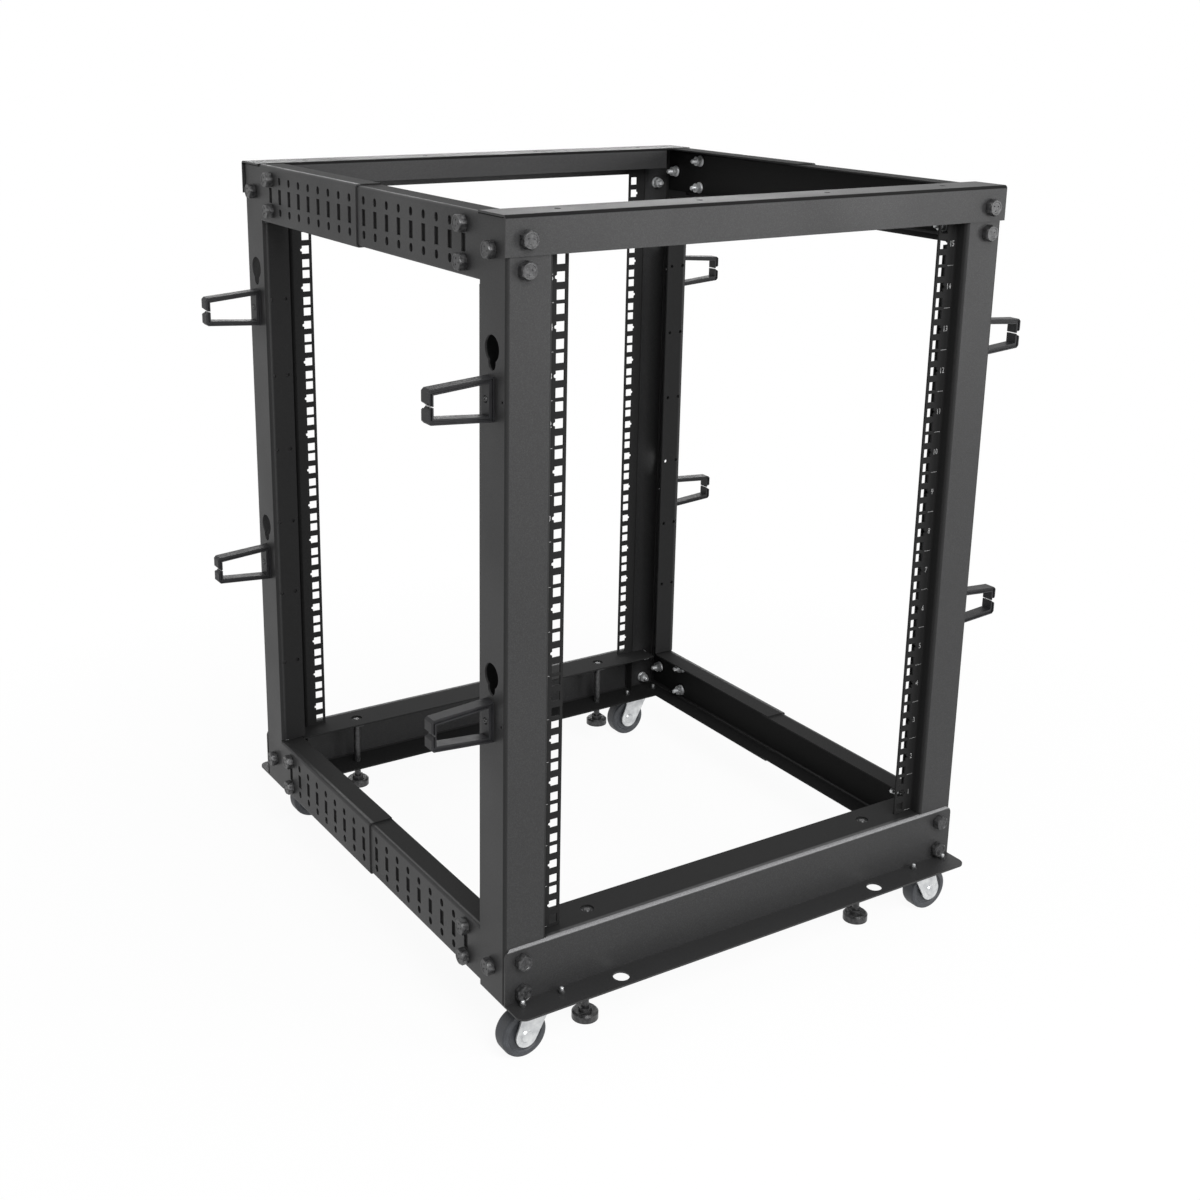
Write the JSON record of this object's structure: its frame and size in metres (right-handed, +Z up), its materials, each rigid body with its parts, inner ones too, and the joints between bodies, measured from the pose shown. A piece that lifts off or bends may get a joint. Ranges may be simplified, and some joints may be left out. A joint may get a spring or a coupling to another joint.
{
  "type": "four post open frame rack",
  "caption": "Black open frame equipment rack on swivel casters, with square-holed rails, slotted side beams and cable rings on its posts.",
  "frame": {"origin": "centre of the footprint on the floor", "axes": "+X to the right seen from the front, -Y out of the front, +Z up"},
  "size_m": [0.727, 0.654, 0.831],
  "materials": {
    "powder_coat": "black powder coat, fine sand texture, satin",
    "ring_plastic": "moulded black plastic, half gloss",
    "foot_steel": "black levelling foot",
    "caster_zinc": "bright zinc plated pressing",
    "wheel_tread": "blue-grey moulded wheel, satin"
  },
  "bodies": {
    "frame": {"post_front_left": "powder_coat", "post_front_right": "powder_coat", "post_back_left": "powder_coat", "post_back_right": "powder_coat", "base_beam_front": "powder_coat", "top_beam_front": "powder_coat", "base_beam_back": "powder_coat", "top_beam_back": "powder_coat", "side_base_front_left": "powder_coat", "side_base_back_left": "powder_coat", "side_base_bar_left": "powder_coat", "side_top_front_left": "powder_coat", "side_top_back_left": "powder_coat", "side_top_bar_left": "powder_coat", "side_base_front_right": "powder_coat", "side_base_back_right": "powder_coat", "side_base_bar_right": "powder_coat", "side_top_front_right": "powder_coat", "side_top_back_right": "powder_coat", "side_top_bar_right": "powder_coat", "ring_front_left_upper": "ring_plastic", "ring_front_left_lower": "ring_plastic", "foot_front_left": "foot_steel", "caster_plate_front_left": "caster_zinc", "ring_front_right_upper": "ring_plastic", "ring_front_right_lower": "ring_plastic", "foot_front_right": "foot_steel", "caster_plate_front_right": "caster_zinc", "ring_back_left_upper": "ring_plastic", "ring_back_left_lower": "ring_plastic", "foot_back_left": "foot_steel", "caster_plate_back_left": "caster_zinc", "ring_back_right_upper": "ring_plastic", "ring_back_right_lower": "ring_plastic", "foot_back_right": "foot_steel", "caster_plate_back_right": "caster_zinc"},
    "fork_front_left": {"caster_fork_front_left": "caster_zinc"},
    "wheel_front_left": {"caster_wheel_front_left": "wheel_tread"},
    "fork_front_right": {"caster_fork_front_right": "caster_zinc"},
    "wheel_front_right": {"caster_wheel_front_right": "wheel_tread"},
    "fork_back_left": {"caster_fork_back_left": "caster_zinc"},
    "wheel_back_left": {"caster_wheel_back_left": "wheel_tread"},
    "fork_back_right": {"caster_fork_back_right": "caster_zinc"},
    "wheel_back_right": {"caster_wheel_back_right": "wheel_tread"}
  },
  "joints": [
    {"name": "front_left_swivel", "type": "hinge", "parent": "frame", "child": "fork_front_left", "pos_m": [-0.2595, -0.287, 0.057], "axis": [0, 0, 1], "continuous": true},
    {"name": "front_left_roll", "type": "hinge", "parent": "fork_front_left", "child": "wheel_front_left", "pos_m": [-0.2735, -0.287, 0.025], "axis": [0, 1, 0], "continuous": true},
    {"name": "front_right_swivel", "type": "hinge", "parent": "frame", "child": "fork_front_right", "pos_m": [0.2595, -0.287, 0.057], "axis": [0, 0, 1], "continuous": true},
    {"name": "front_right_roll", "type": "hinge", "parent": "fork_front_right", "child": "wheel_front_right", "pos_m": [0.2735, -0.287, 0.025], "axis": [0, 1, 0], "continuous": true},
    {"name": "back_left_swivel", "type": "hinge", "parent": "frame", "child": "fork_back_left", "pos_m": [-0.2595, 0.287, 0.057], "axis": [0, 0, 1], "continuous": true},
    {"name": "back_left_roll", "type": "hinge", "parent": "fork_back_left", "child": "wheel_back_left", "pos_m": [-0.2455, 0.287, 0.025], "axis": [0, 1, 0], "continuous": true},
    {"name": "back_right_swivel", "type": "hinge", "parent": "frame", "child": "fork_back_right", "pos_m": [0.2595, 0.287, 0.057], "axis": [0, 0, 1], "continuous": true},
    {"name": "back_right_roll", "type": "hinge", "parent": "fork_back_right", "child": "wheel_back_right", "pos_m": [0.2455, 0.287, 0.025], "axis": [0, 1, 0], "continuous": true}
  ]
}
